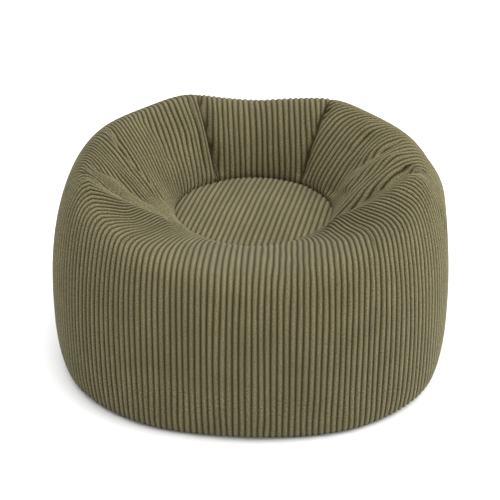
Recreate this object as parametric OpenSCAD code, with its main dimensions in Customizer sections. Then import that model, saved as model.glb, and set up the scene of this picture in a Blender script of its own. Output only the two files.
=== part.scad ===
// Bean bag chair: a tub-shaped bag of beads with a round seat, a high back and a low front.
// Units are millimetres, +Z is up, the front faces -Y, the origin is the middle of the underside.

/* [Overall size] */
// Half of the width, at the widest height
half_width = 430; // [380:1:480]
// Half of the depth, at the widest height
half_depth = 427.5; // [380:0.5:480]
// Squareness of the plan: 2 is an ellipse, higher is squarer
plan_power = 2.47; // [2:0.01:4]
// Height of the widest place above the floor
wide_z = 118; // [80:1:160]
// Half of the width where the wall meets the base
foot_r = 404; // [360:1:428]

/* [Rim] */
// Height of the rim at the back
back_z = 436; // [360:1:500]
// Height of the rim at the left arm
left_z = 426; // [360:1:500]
// Height of the rim at the right arm
right_z = 408; // [360:1:500]
// Height of the rim at the front
front_z = 338; // [310:1:420]
// How much the rim dips between the back and the arms, and rises between them and the front
rim_wave = -5; // [-20:1:20]
// Distance of the rim's crest from the middle, at the back
back_crest_r = 312; // [260:1:360]
// Distance of the rim's crest from the middle, at the arms and the front
side_crest_r = 337; // [280:1:380]

/* [Seat] */
// Radius of the round seat panel
seat_r = 172; // [140:1:220]
// Height of the seat panel's seam
seat_z = 295; // [240:1:320]
// How far the seat's middle lies behind the chair's middle
seat_back = 21; // [0:1:60]
// How much the seat panel bulges up in the middle
seat_dome = 10; // [4:1:30]

/* [Fabric] */
// Thickness of the corduroy cover, pile included
cover_t = 2; // [1:0.1:4]
// Thickness of the inner liner's woven cloth
liner_t = 0.6; // [0.3:0.1:1.5]
// Free space between one layer and the next
layer_gap = 0.8; // [0.5:0.1:2]

/* [Cover zip] */
// Distance of the straight zip seam behind the middle
zip_y = 392; // [384:1:392]
// Height of the cover zip's middle line
zip_z = 15; // [13:0.5:20]
// Half of the zip chain's length
zip_half = 134; // [60:1:134]
// Half of the opening between the wall's hem and the base's edge, at the zip
zip_open = 6; // [5:0.5:8]

/* [Liner zip] */
// Half of the liner zip chain's length
liner_zip_half = 135; // [60:1:180]

/* [Display] */
// Which piece to draw

/* [Hidden] */

cord_col = [0.43, 0.42, 0.29];
base_col = [0.20, 0.20, 0.17];
cloth_col = [0.86, 0.86, 0.83];
tape_col = [0.36, 0.35, 0.25];
coil_col = [0.28, 0.28, 0.21];
metal_col = [0.72, 0.72, 0.70];
bead_col = [0.96, 0.96, 0.95];

// The six wall panels, counted from the front-left seam to the right and round: the compass angle
// of each seam at the rim and at the seat (0 is the front, 90 the right), and the columns between.
rim_seams = [-34.5, 39, 95, 155.5, 204.5, 265, 325.5];
seat_seams = [-34.5, 39, 79, 148.5, 211.5, 281, 325.5];
columns = [12, 9, 10, 16, 10, 10];
panel_n = len(columns);

// Rows up the profile: 0 hem, 1 widest height, 2 crest of the rim, 3 seat seam, 4 middle of the seat
wall_rows = [0, 0.2, 0.35, 0.55, 0.75, 1, 1.2, 1.4, 1.58, 1.72, 1.84, 1.93, 2,
  2.15, 2.3, 2.45, 2.6, 2.75, 2.9, 3];
// The inner layers leave the hem alone and end in a heel (-1) and a foot (-2) of their own
liner_wall_rows = [-2, -1, 0.35, 0.55, 0.75, 1, 1.2, 1.4, 1.58, 1.72, 1.84, 1.93, 2];
liner_top_rows = [2, 2.15, 2.3, 2.45, 2.6, 2.75, 2.9, 3, 3.34, 3.67];
fill_rows = concat(liner_wall_rows, [for (i = [1 : len(liner_top_rows) - 1]) liner_top_rows[i]]);
liner_d = cover_t + layer_gap;
fill_d = liner_d + liner_t + 0.6;

plan_back_power = 3;      // squareness of the base's rear edge
wall_edge_power = 2.31;   // fullness of the wall below the widest height
wall_top_power = 2.42;    // fullness of the wall above it
well_power = 1.48;        // fullness of the inner wall
side_start = 35;          // how steeply the hem leaves the base at the rear, degrees
seam_gap = 0.15;          // half of the gap between two sewn edges
hem_ease = 22;            // length over which the hem rises from the base's edge to clear the zip

function mix(a, b, w) = a + (b - a) * w;
function clip01(x) = min(1, max(0, x));
function smooth(x) = let (c = clip01(x)) c * c * (3 - 2 * c);
function unit(v) = v / norm(v);
function from_front(phi) = abs((phi + 180) % 360 - 180);
function at(phi, r, z) = [r * sin(phi), -r * cos(phi), z];
function super_r(phi, n, rx, ry) =
  1 / pow(pow(abs(sin(phi)) / rx, n) + pow(abs(cos(phi)) / ry, n), 1 / n);

// 0 at the front, 1 at the rear; and 1 only beside the zip
function rear(phi) = smooth((from_front(phi) - 70) / 38);
function zip_near(phi) = let (f = from_front(phi)) f < 120 ? 0 :
  smooth((zip_half - 2 + hem_ease - zip_y * tan(180 - f)) / hem_ease);

// Outline of the base, with a straight stretch at the rear for the zip
function foot_line(phi) = let (f = from_front(phi),
  front_r = super_r(phi, plan_power, foot_r, foot_r),
  back_r = super_r(phi, plan_back_power, foot_r, foot_r),
  cut_r = f > 120 ? min(back_r, zip_y / abs(cos(phi))) : back_r) mix(front_r, cut_r, rear(phi));
function seam_z(phi) = mix(3, zip_z - zip_open, rear(phi));
function hem_z(phi) = seam_z(phi) + seam_gap + zip_near(phi) * 2 * zip_open;
function edge_z(phi) = seam_z(phi) - seam_gap;

function wide_r(phi) = super_r(phi, plan_power, half_width, half_depth);
function rim_z(phi) = let (c = cos(phi), s = sin(phi))
  (c > 0 ? front_z : back_z) * c * c + (s > 0 ? right_z : left_z) * s * s
  + rim_wave * pow(sin(2 * phi), 2) * (c > 0 ? 1 : -1);
function crest_r(phi) = let (c = cos(phi)) wide_r(phi) / half_width
  * mix(side_crest_r, c > 0 ? side_crest_r : back_crest_r, c * c);

// Compass angle of a place: u counts panels, t is the row
function angle_of(table, u) = let (i = min(panel_n - 1, max(0, floor(u))))
  mix(table[i], table[i + 1], u - i);
function angle_at(u, t) = mix(angle_of(rim_seams, u), angle_of(seat_seams, u), clip01(t - 2));

function wall_low(phi, t) = let (p = 2 / wall_edge_power, a0 = side_start * rear(phi),
  a = mix(a0, 90, t), fr = (pow(sin(a), p) - pow(sin(a0), p)) / (1 - pow(sin(a0), p)),
  fz = (pow(cos(a0), p) - pow(cos(a), p)) / pow(cos(a0), p))
  at(phi, mix(foot_line(phi), wide_r(phi), fr), mix(hem_z(phi), wide_z, fz));
function wall_high(phi, t) = let (p = 2 / wall_top_power, a = 90 * t)
  at(phi, mix(crest_r(phi), wide_r(phi), pow(cos(a), p)), mix(wide_z, rim_z(phi), pow(sin(a), p)));
function well(phi, t) = let (p = 2 / well_power, a = 90 * t, k = 1 - pow(sin(a), p),
  rim = at(phi, crest_r(phi), 0), hole = at(phi, seat_r, 0) + [0, seat_back, 0])
  let (q = hole + (rim - hole) * k) [q.x, q.y, mix(seat_z, rim_z(phi), pow(cos(a), p))];
function seat_top(phi, f) =
  at(phi, seat_r * f, seat_z + seat_dome * (1 - f * f)) + [0, seat_back, 0];

function skin(u, t) = let (phi = angle_at(u, t))
  t < 1 ? wall_low(phi, max(0, t)) : t < 2 ? wall_high(phi, t - 1) :
  t < 3 ? well(phi, t - 2) : seat_top(phi, 4 - t);
function skin_normal(u, t) = let (e = 0.02, lo = max(0, t - e),
  du = skin(u + e, t) - skin(u - e, t), dt = skin(u, t + e) - skin(u, lo)) unit(cross(du, dt));

// A place d below the cover's outside; the heel and the foot keep clear of the zip and the base
function heel(phi, d) = at(phi, foot_line(phi) + mix(2, -10, rear(phi)) - (d - liner_d),
  mix(8.5, 24, rear(phi)) + (d - liner_d) / 2);
function foot(phi, d) = at(phi, foot_line(phi) - mix(8, 16, rear(phi)) - (d - liner_d), d);
function under(u, t, d) = t < -1.5 ? foot(angle_at(u, 0), d) :
  t < -0.5 ? heel(angle_at(u, 0), d) :
  t > 3 ? skin(u, t) - [0, 0, d] : skin(u, t) - d * skin_normal(u, t);

function panel_u(p) = [for (i = [0 : columns[p]]) p + i / columns[p]];
ring_u = [for (p = [0 : panel_n - 1]) for (i = [0 : columns[p] - 1]) p + i / columns[p]];

function tri(a, b, c, d) = [[a, b, c], [a, c, d]];
function two(q) = [for (r = q) for (f = r) f];

// Cloth between depths d0 and d1, over the given columns and rows; ring closes it round
module cloth(us, ts, d0, d1, ring = false) {
  n = len(us); m = len(ts); g = n * m; last = ring ? n - 1 : n - 2;
  top = [for (u = us) for (t = ts) d0 == 0 ? skin(u, t) : under(u, t, d0)];
  low = [for (u = us) for (t = ts) under(u, t, d1)];
  faces = two(concat(
    [for (i = [0 : last]) for (j = [0 : m - 2]) let (k = (i + 1) % n)
      tri(i * m + j, i * m + j + 1, k * m + j + 1, k * m + j)],
    [for (i = [0 : last]) for (j = [0 : m - 2]) let (k = (i + 1) % n)
      tri(g + i * m + j, g + k * m + j, g + k * m + j + 1, g + i * m + j + 1)],
    [for (i = [0 : last]) let (k = (i + 1) % n) tri(i * m, k * m, g + k * m, g + i * m)],
    [for (i = [0 : last]) let (k = (i + 1) % n)
      tri(k * m + m - 1, i * m + m - 1, g + i * m + m - 1, g + k * m + m - 1)],
    ring ? [] : [for (j = [0 : m - 2]) tri(j, g + j, g + j + 1, j + 1)],
    ring ? [] : [for (j = [0 : m - 2]) let (e = (n - 1) * m)
      tri(g + e + j + 1, g + e + j, e + j, e + j + 1)]));
  polyhedron(concat(top, low), faces, convexity = 4);
}

module wall_panel(p) color(cord_col) cloth(panel_u(p), wall_rows, 0, cover_t);
module cover_panel_front() wall_panel(0);
module cover_panel_front_right() wall_panel(1);
module cover_panel_back_right() wall_panel(2);
module cover_panel_back() wall_panel(3);
module cover_panel_back_left() wall_panel(4);
module cover_panel_front_left() wall_panel(5);

module cover_seat_panel() color(cord_col) {
  edge = seat_r - 0.5;
  crown = function (f) seat_z + seat_dome * (1 - f * f);
  steps = 10;
  translate([0, seat_back, 0]) rotate_extrude($fn = 96) polygon(concat(
    [for (i = [0 : steps]) let (f = i / steps) [edge * f, crown(f)]],
    [for (i = [0 : steps]) let (f = 1 - i / steps) [edge * f, crown(f) - cover_t]]));
}

// The base is flat and turns up at its edge to meet the wall's hem
module cover_base_panel() color(base_col) {
  n = len(ring_u);
  turn = function (phi) mix(5, 9, rear(phi));
  rows = [
    function (phi) at(phi, foot_line(phi) - turn(phi) - 1.2, cover_t),
    function (phi) at(phi, foot_line(phi) - cover_t - 0.2 * turn(phi), max(cover_t + 0.1, 0.3 * edge_z(phi))),
    function (phi) at(phi, foot_line(phi) - cover_t, max(cover_t + 0.3, 0.5 * edge_z(phi))),
    function (phi) at(phi, foot_line(phi) - cover_t, edge_z(phi)),
    function (phi) at(phi, foot_line(phi), edge_z(phi)),
    function (phi) at(phi, foot_line(phi), 0.5 * edge_z(phi)),
    function (phi) at(phi, foot_line(phi) - 0.25 * turn(phi), 0.15 * edge_z(phi)),
    function (phi) at(phi, foot_line(phi) - turn(phi), 0)];
  m = len(rows);
  pts = concat([for (u = ring_u) for (f = rows) f(angle_at(u, 0))], [[0, 0, cover_t], [0, 0, 0]]);
  faces = concat(
    two([for (i = [0 : n - 1]) for (j = [0 : m - 2]) let (k = (i + 1) % n)
      tri(i * m + j, k * m + j, k * m + j + 1, i * m + j + 1)]),
    [for (i = [0 : n - 1]) let (k = (i + 1) % n) [n * m, k * m, i * m]],
    [for (i = [0 : n - 1]) let (k = (i + 1) % n) [n * m + 1, i * m + m - 1, k * m + m - 1]]);
  polyhedron(pts, faces, convexity = 4);
}

/* The cover zip: it lies straight along X in the rear base seam, closed with its slider at the right */
tape_t = 0.7;
tape_reach = 10.8;                        // from the zip's middle to a tape's sewn edge
tape_half = zip_half + 16;                // the tapes run on past the chain, behind the closed seam
coil_r = 1.4;
chain_gap = 0.75;                         // half of the gap between the two coils
tape_out = zip_y - 2.3;                   // outer face of the tapes
coil_y = tape_out + coil_r;
slider_half = 6;                          // half of the slider's length
slider_rest = zip_half - slider_half - 4; // where the slider rests when the zip is shut

module along_x(x0, x1, y0, y1, z0, z1) translate([x0, y0, z0]) cube([x1 - x0, y1 - y0, z1 - z0]);
module rod_x(x0, x1, y, z, r) translate([x0, y, z]) rotate([0, 90, 0]) cylinder(h = x1 - x0, r = r);

module zip_tape_upper() color(tape_col)
  along_x(-tape_half, tape_half, tape_out - tape_t, tape_out, zip_z + chain_gap, zip_z + tape_reach);
module zip_tape_lower() color(tape_col)
  along_x(-tape_half, tape_half, tape_out - tape_t, tape_out, zip_z - tape_reach, zip_z - chain_gap);
module zip_coil_upper() color(coil_col)
  rod_x(3 - zip_half, zip_half - 3, coil_y, zip_z + chain_gap + coil_r, coil_r);
module zip_coil_lower() color(coil_col)
  rod_x(3 - zip_half, zip_half - 3, coil_y, zip_z - chain_gap - coil_r, coil_r);

module zip_stop(s) color(metal_col)
  translate([s * (zip_half - 1.5), coil_y + 0.1, zip_z]) cube([2.6, 2 * coil_r, 7], center = true);
module zip_stop_left() zip_stop(-1);
module zip_stop_right() zip_stop(1);

// A locking slider with no pull: two plates joined by a post that runs between the coils
module slider_body(half, wide, inner0, outer1, plate, coil_top, lip) {
  translate([-half, inner0, -wide]) cube([2 * half, plate, 2 * wide]);
  translate([-half, outer1 - plate, -wide]) cube([2 * half, plate, 2 * wide]);
  translate([-half * 0.3, inner0, -0.45]) cube([half * 0.6, outer1 - inner0, 0.9]);
  for (s = [-1, 1]) translate([-half, lip, s * (wide - 0.4) - 0.4])
    cube([2 * half, outer1 - lip, 0.8]);
  difference() {
    translate([-half * 0.55, outer1 - 0.2, -1.3]) cube([half * 1.1, coil_top, 2.6]);
    translate([-half * 0.28, outer1 + 0.2, -2]) cube([half * 0.56, coil_top - 0.9, 4]);
  }
}
module zip_slider() color(metal_col) translate([slider_rest, 0, zip_z])
  slider_body(slider_half, 4.8, tape_out - tape_t - 1.6, coil_y + coil_r + 1.6, 1.2, 2.4,
    tape_out + 0.35);

/* The liner: a closed bag of thin cloth inside the cover, with its own zip across its flat base */
liner_tape_z = liner_d + liner_t;
liner_coil_r = 1;
liner_coil_z = liner_tape_z + 0.5 + liner_coil_r;
liner_slot = 5.5;
liner_rest = liner_zip_half - 9;

module liner_wall() color(cloth_col) cloth(ring_u, liner_wall_rows, liner_d, liner_d + liner_t, true);
module liner_top() color(cloth_col) {
  n = len(ring_u); m = len(liner_top_rows); g = n * m; tip = 2 * g; d1 = liner_d + liner_t;
  mid = [0, seat_back, seat_z + seat_dome];
  top = [for (u = ring_u) for (t = liner_top_rows) under(u, t, liner_d)];
  low = [for (u = ring_u) for (t = liner_top_rows) under(u, t, d1)];
  faces = concat(
    two([for (i = [0 : n - 1]) for (j = [0 : m - 2]) let (k = (i + 1) % n)
      tri(i * m + j, i * m + j + 1, k * m + j + 1, k * m + j)]),
    two([for (i = [0 : n - 1]) for (j = [0 : m - 2]) let (k = (i + 1) % n)
      tri(g + i * m + j, g + k * m + j, g + k * m + j + 1, g + i * m + j + 1)]),
    two([for (i = [0 : n - 1]) let (k = (i + 1) % n) tri(i * m, k * m, g + k * m, g + i * m)]),
    [for (i = [0 : n - 1]) let (k = (i + 1) % n) [tip, k * m + m - 1, i * m + m - 1]],
    [for (i = [0 : n - 1]) let (k = (i + 1) % n) [tip + 1, g + i * m + m - 1, g + k * m + m - 1]]);
  polyhedron(concat(top, low, [mid - [0, 0, liner_d], mid - [0, 0, d1]]), faces, convexity = 4);
}
module liner_base() color(cloth_col) difference() {
  translate([0, 0, liner_d]) linear_extrude(liner_t)
    polygon([for (u = ring_u) let (q = foot(angle_at(u, 0), liner_d + liner_t + 0.3)) [q.x, q.y]]);
  along_x(-liner_zip_half - 1, liner_zip_half + 1, -liner_slot, liner_slot, 0, 10);
}
module liner_tape(y0, y1) color(cloth_col)
  along_x(-liner_zip_half - 6, liner_zip_half + 6, y0, y1, liner_tape_z, liner_tape_z + 0.5);
module liner_zip_tape_front() liner_tape(-12, -0.7);
module liner_zip_tape_back() liner_tape(0.7, 12);
module liner_coil(s) color(cloth_col)
  rod_x(-liner_zip_half, liner_zip_half, s * (0.7 + liner_coil_r), liner_coil_z, liner_coil_r);
module liner_zip_coil_front() liner_coil(-1);
module liner_zip_coil_back() liner_coil(1);
module liner_stop(s) color(metal_col)
  translate([s * (liner_zip_half + 1.5), 0, liner_coil_z]) cube([2.6, 6, 2 * liner_coil_r], center = true);
module liner_zip_stop_left() liner_stop(-1);
module liner_zip_stop_right() liner_stop(1);
module liner_zip_slider() color(metal_col) translate([liner_rest, 0, 0]) {
  low = cover_t + 0.3; high = liner_coil_z + liner_coil_r + 0.3;
  along_x(-5, 5, -4.2, 4.2, low, low + 0.7);
  along_x(-5, 5, -4.2, 4.2, high, high + 0.7);
  along_x(-1.5, 1.5, -0.45, 0.45, low, high + 0.7);
  for (s = [-1, 1]) translate([0, s * 3.85, 0])
    along_x(-5, 5, -0.35, 0.35, liner_tape_z + 0.8, high + 0.7);
}

/* The beads, as one body that fills the liner, with a shallow groove that clears the liner's zip */
module bead_fill() color(bead_col) difference() {
  bead_body();
  along_x(-liner_zip_half - 12, liner_zip_half + 12, -13, 13, 0, liner_coil_z + liner_coil_r + 2);
}
module bead_body() {
  n = len(ring_u); m = len(fill_rows); g = n * m;
  pts = concat([for (u = ring_u) for (t = fill_rows) under(u, t, fill_d)],
    [[0, seat_back, seat_z + seat_dome - fill_d], [0, 0, fill_d]]);
  faces = concat(
    two([for (i = [0 : n - 1]) for (j = [0 : m - 2]) let (k = (i + 1) % n)
      tri(i * m + j, i * m + j + 1, k * m + j + 1, k * m + j)]),
    [for (i = [0 : n - 1]) let (k = (i + 1) % n) [g, k * m + m - 1, i * m + m - 1]],
    [for (i = [0 : n - 1]) let (k = (i + 1) % n) [g + 1, i * m, k * m]]);
  polyhedron(pts, faces, convexity = 4);
}

cover_panel_front();
cover_panel_front_right();
cover_panel_back_right();
cover_panel_back();
cover_panel_back_left();
cover_panel_front_left();
cover_seat_panel();
cover_base_panel();
zip_tape_upper();
zip_tape_lower();
zip_coil_upper();
zip_coil_lower();
zip_stop_left();
zip_stop_right();
zip_slider();
liner_wall();
liner_top();
liner_base();
liner_zip_tape_front();
liner_zip_tape_back();
liner_zip_coil_front();
liner_zip_coil_back();
liner_zip_stop_left();
liner_zip_stop_right();
liner_zip_slider();
bead_fill();
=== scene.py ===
"""Bean bag chair in wide-wale corduroy: the looks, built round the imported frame. Lengths in metres.

The cover is one surface in two coordinates: the compass angle phi (0 front, 90 right, 180 back) and
the row t (0 hem, 1 widest height, 2 crest of the rim, 3 seat seam). The cords (wales) follow the level
lines of a number that grows by one for each cord's width along a row. The three front panels share the
front's numbers, which crowd towards their side seams; every other panel counts from a line of its own.
Where the rows get shorter, towards the rim and the well, the outer cords run into the seams.
"""
import math

import bmesh
import bpy
import numpy as np
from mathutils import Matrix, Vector


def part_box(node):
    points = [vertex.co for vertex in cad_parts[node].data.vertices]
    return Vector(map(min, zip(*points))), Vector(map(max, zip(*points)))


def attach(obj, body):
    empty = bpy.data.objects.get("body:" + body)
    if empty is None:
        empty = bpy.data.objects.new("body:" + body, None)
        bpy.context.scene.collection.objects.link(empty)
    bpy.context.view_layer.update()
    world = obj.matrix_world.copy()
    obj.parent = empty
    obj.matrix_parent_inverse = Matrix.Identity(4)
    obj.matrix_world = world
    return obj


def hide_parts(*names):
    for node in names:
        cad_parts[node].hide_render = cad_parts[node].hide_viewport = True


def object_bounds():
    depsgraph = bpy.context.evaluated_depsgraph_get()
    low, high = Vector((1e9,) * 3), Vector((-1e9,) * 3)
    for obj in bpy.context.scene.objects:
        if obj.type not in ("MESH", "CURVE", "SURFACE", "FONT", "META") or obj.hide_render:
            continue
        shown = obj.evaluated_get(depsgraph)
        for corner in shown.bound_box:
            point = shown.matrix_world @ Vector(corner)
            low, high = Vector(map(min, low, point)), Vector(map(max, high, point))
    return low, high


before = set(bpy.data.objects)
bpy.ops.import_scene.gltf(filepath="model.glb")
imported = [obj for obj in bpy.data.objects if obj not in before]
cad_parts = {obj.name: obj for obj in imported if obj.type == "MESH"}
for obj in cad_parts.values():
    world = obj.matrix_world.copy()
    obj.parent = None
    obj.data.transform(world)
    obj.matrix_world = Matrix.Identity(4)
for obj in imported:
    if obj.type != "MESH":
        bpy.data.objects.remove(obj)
cad_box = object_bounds()


# ------------------------ sizes, from the frame
def node_box(name):
    lo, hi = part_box(name)
    return np.array(lo), np.array(hi)


HALF_WIDTH, HALF_DEPTH = np.array(cad_box[1])[:2]
SEAT_LO, SEAT_HI = node_box("cover_seat_panel")
SEAT_R = (SEAT_HI[0] - SEAT_LO[0]) / 2
SEAT_MID = (SEAT_LO + SEAT_HI) / 2
SEAT_CROWN = 0.010  # rise of the seat's middle over its seam
SEAT_Z = SEAT_HI[2] - SEAT_CROWN
FOOT_R, ZIP_Y = node_box("cover_base_panel")[1][:2]
ZIP_Z = (node_box("zip_tape_upper")[1][2] + node_box("zip_tape_lower")[0][2]) / 2
COIL_EASE = 0.001  # from the end of a zip's coil to the end of its opening
CHAIN_HALF = node_box("zip_coil_upper")[1][0] + COIL_EASE
ZIP_OPEN = 0.006  # half of the opening between the hem and the base's edge, at the zip
SEAM_GAP = 0.00015  # half of the gap between two sewn edges
HEM_EASE = 0.022  # length over which the hem rises to clear the zip
REAR_FROM, REAR_OVER = 70, 38  # degrees from the front where the rear's foot starts, and its blend
ZIP_SIDE = 120  # degrees from the front beyond which the foot is cut straight for the zip

PLAN_POWER, REAR_POWER = 2.47, 3  # squareness of the outline and of the rear's foot, where 2 is round
WIDE_Z = 0.118  # height at which the chair is widest
RIM_BACK, RIM_LEFT, RIM_RIGHT, RIM_FRONT = 0.436, 0.426, 0.408, 0.338  # heights
RIM_WAVE = -0.005  # the rim's rise between those four places in front, and its fall behind
# The rim's corners: angle and spread in degrees, and height
PEAKS = ((152, 12, 0.012), (210, 12, 0.015), (181, 9, -0.003))
CREST_BACK, CREST_SIDE = 0.312, 0.337  # from the middle of the chair out to the rim's crest
LOW_POWER, TOP_POWER, WELL_POWER = 2 / 2.31, 2 / 2.42, 2 / 1.48  # fullness of the wall, rim and well
HEM_START = math.radians(35)  # how far round its curve the rear's wall starts

PITCH = 0.0122  # one cord and its groove
BACK_PITCH = 0.0131  # the same on the back panel, which is stretched a little
CORD_H = 0.0033  # height of a cord above its groove


# ------------------------ small maths
def mix(a, b, w):
    return a + (b - a) * w


def smooth(x):
    x = np.clip(x, 0, 1)
    return x * x * (3 - 2 * x)


def unit(v):
    return v / np.maximum(np.linalg.norm(v, axis=-1, keepdims=True), 1e-12)


def curve_through(rows, points):
    """A soft curve phi(t) through a few given (t, phi) points."""
    ts, ps = zip(*points)
    fine = np.linspace(0, 3, 301)
    line = np.interp(fine, ts, ps)
    kernel = np.hanning(25)
    kernel /= kernel.sum()
    padded = np.pad(line, len(kernel) // 2, "edge")
    return np.interp(rows, fine, np.convolve(padded, kernel, "valid"))


# ------------------------ the smooth shape
def plan_radius(phi, power, rx, ry):
    """Distance from the middle out to a rounded rectangle."""
    return (np.abs(np.sin(phi) / rx) ** power + np.abs(np.cos(phi) / ry) ** power) ** (-1 / power)


def from_front(phi):
    return np.abs((np.degrees(phi) + 180) % 360 - 180)


def foot_line(phi):
    """How far out the cover's foot stands at an angle, and how much of the rear's shape holds there."""
    rear = smooth((from_front(phi) - REAR_FROM) / REAR_OVER)
    back = plan_radius(phi, REAR_POWER, FOOT_R, FOOT_R)
    straight = ZIP_Y / np.maximum(np.abs(np.cos(phi)), 1e-6)
    cut = np.where(from_front(phi) > ZIP_SIDE, np.minimum(back, straight), back)
    return mix(plan_radius(phi, PLAN_POWER, FOOT_R, FOOT_R), cut, rear), rear


def seam_height(rear):
    """Height of the seam between the wall's hem and the base's edge."""
    return mix(0.003, ZIP_Z - ZIP_OPEN, rear)


def hem_height(phi, rear):
    """Height of the wall's hem, which rises over the zip and comes down to the base beyond it."""
    behind = from_front(phi) > ZIP_SIDE
    x = np.where(behind, ZIP_Y * np.abs(np.tan(phi)), 1.0)
    near = smooth((CHAIN_HALF + HEM_EASE - x) / HEM_EASE)
    return seam_height(rear) + SEAM_GAP + near * 2 * ZIP_OPEN


def body_shape(phi, t):
    """Point of the smooth cover at compass angle phi (radians) and row t."""
    c, s = np.cos(phi), np.sin(phi)
    wide = plan_radius(phi, PLAN_POWER, HALF_WIDTH, HALF_DEPTH)
    foot, rear = foot_line(phi)
    rim = np.where(c > 0, RIM_FRONT, RIM_BACK) * c * c + np.where(s > 0, RIM_RIGHT, RIM_LEFT) * s * s
    rim = rim + RIM_WAVE * np.sin(2 * phi) ** 2 * np.where(c > 0, 1, -1)
    turn = np.degrees(phi) % 360
    rim = rim + sum(h * np.exp(-((turn - a) / w) ** 2) for a, w, h in PEAKS)
    crest = wide / HALF_WIDTH * mix(CREST_SIDE, np.where(c > 0, CREST_SIDE, CREST_BACK), c * c)
    a0 = HEM_START * rear
    a = mix(a0, math.pi / 2, np.clip(t, 0, 1))
    low_r = (np.sin(a) ** LOW_POWER - np.sin(a0) ** LOW_POWER) / (1 - np.sin(a0) ** LOW_POWER)
    low_z = (np.cos(a0) ** LOW_POWER - np.maximum(np.cos(a), 0) ** LOW_POWER) / np.cos(a0) ** LOW_POWER
    b = np.clip(t - 1, 0, 1) * math.pi / 2
    high_r = mix(crest, wide, np.maximum(np.cos(b), 0) ** TOP_POWER)
    high_z = mix(WIDE_Z, rim, np.sin(b) ** TOP_POWER)
    g = np.clip(t - 2, 0, 1) * math.pi / 2
    k = 1 - np.sin(g) ** WELL_POWER
    r = np.where(t < 1, mix(foot, wide, low_r), high_r)
    well_x = mix(SEAT_R * s, crest * s, k)
    well_y = mix(-SEAT_R * c + SEAT_MID[1], -crest * c, k)
    x = np.where(t < 2, r * s, well_x)
    y = np.where(t < 2, -r * c, well_y)
    z = np.where(t < 1, mix(hem_height(phi, rear), WIDE_Z, low_z),
                 np.where(t < 2, high_z, mix(SEAT_Z, rim, np.maximum(np.cos(g), 0) ** WELL_POWER)))
    return np.stack([x, y, z], -1)


# ------------------------ rows and guide curves
SAMPLE_TURNS = (20, 90, 160, 250)  # angles at which the length of the cloth is taken
# Rows, and the space between the mesh's points there
ROW_SPACE = ((0, 0.4, 1.3, 1.75, 3), (0.004, 0.006, 0.006, 0.004, 0.0035))


def make_rows():
    """Rows t, spaced by arc length: wide on the straight outer wall, close in the well."""
    t = np.linspace(0, 3, 6001)
    path = np.mean([body_shape(np.full_like(t, p), t) for p in np.radians(SAMPLE_TURNS)], 0)
    length = np.concatenate([[0], np.cumsum(np.linalg.norm(np.diff(path, axis=0), axis=1))])
    gap = np.interp(t, *ROW_SPACE)
    count = np.concatenate([[0], np.cumsum(np.diff(length) / gap[1:])])
    n = int(round(count[-1]))
    return np.interp(np.linspace(0, count[-1], n + 1), count, t)


ROWS = make_rows()
FRONT_CORDS = 21.5  # cords from the middle of the front to the seam on either side
# Cords widen round the front corners: from and over which degrees, by how much, until and over which
WIDER_FROM, WIDER_OVER, WIDER_BY = 32, 30, 0.22
WIDER_UNTIL, WIDER_FADE = 125, 20
BACK_FROM, BACK_UNTIL, BACK_FADE = 146, 192, 8  # degrees between which the back's cords are wider


def cords_across(turn):
    """Cords crossed between neighbouring angles (degrees, one per column and row) along every row."""
    p = body_shape(np.radians(turn), np.broadcast_to(ROWS, turn.shape))
    wider = WIDER_BY * smooth((np.abs(turn) - WIDER_FROM) / WIDER_OVER)
    stretch = 1 + wider * smooth((WIDER_UNTIL - turn) / WIDER_FADE)
    on_back = smooth((turn - BACK_FROM) / BACK_FADE) * smooth((BACK_UNTIL - turn) / BACK_FADE)
    pitch = mix(PITCH * stretch, BACK_PITCH, on_back)
    return np.linalg.norm(np.diff(p, axis=0), axis=-1) / pitch[:-1]


def soft_min(a, b, blend):
    """The smaller of two values, blended where they are close."""
    return (a + b - np.sqrt((a - b) ** 2 + blend ** 2)) / 2


def per_row(x, xs, ys):
    """Interpolates row by row; x is one value per row, xs and ys are (column, row) or (column,)."""
    xs, ys = (np.broadcast_to(v.reshape(len(v), -1), (len(v), len(ROWS))) for v in (xs, ys))
    return np.array([np.interp(x[j], xs[:, j], ys[:, j]) for j in range(len(ROWS))])


# The front's cords, numbered from its middle
FRONT_MIDDLE = 2
FRONT_TURN = FRONT_MIDDLE + np.linspace(-112, 112, 897)
PLAIN = np.cumsum(cords_across(FRONT_TURN[:, None] * np.ones(len(ROWS))), 0)
PLAIN = np.concatenate([np.zeros((1, len(ROWS))), PLAIN])
PLAIN = PLAIN - PLAIN[len(PLAIN) // 2]


def seam_from_cord(points):
    """A seam that runs beside a cord up the outer wall and then along the given points (t, phi)."""
    row = int(np.argmin(np.abs(ROWS - points[0][0])))
    number = np.interp(points[0][1], FRONT_TURN, PLAIN[:, row])
    outer = per_row(np.full(len(ROWS), number), PLAIN, FRONT_TURN)
    return curve_through(ROWS, list(zip(ROWS[:row - 2:8], outer[:row - 2:8])) + list(points))


LEAVE_ROW = 1.72  # up to this row the side seams run beside a cord
# Seams as phi in degrees against the row
LEFT_SEAM = seam_from_cord([(LEAVE_ROW, -76), (1.84, -78), (1.95, -78), (2.05, -74.5), (2.15, -69),
                            (2.3, -60), (2.45, -52), (2.65, -44.5), (3, -37.5)])
RIGHT_SEAM = seam_from_cord([(LEAVE_ROW, 89), (1.84, 92), (1.93, 93.5), (2.03, 93), (2.12, 91.5),
                             (2.25, 88), (2.4, 82.5), (2.55, 76), (2.7, 68), (2.85, 61), (3, 57)])
CROWD_REACH, CROWD_REACH_RIGHT = 0.62, 0.5  # share of the front that crowds, and on the right's crest
NARROW_UNTIL, NARROW_OVER = 2.5, 0.4  # row up to which the right's crest keeps its own share
CROWD_FROM, CROWD_OVER = 1.62, 0.46  # row from which the cords crowd, and the rows it takes
CROWD_MOST, CROWD_BLEND = 0.85, 3  # how densely they may crowd, and how softly that limits


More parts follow.
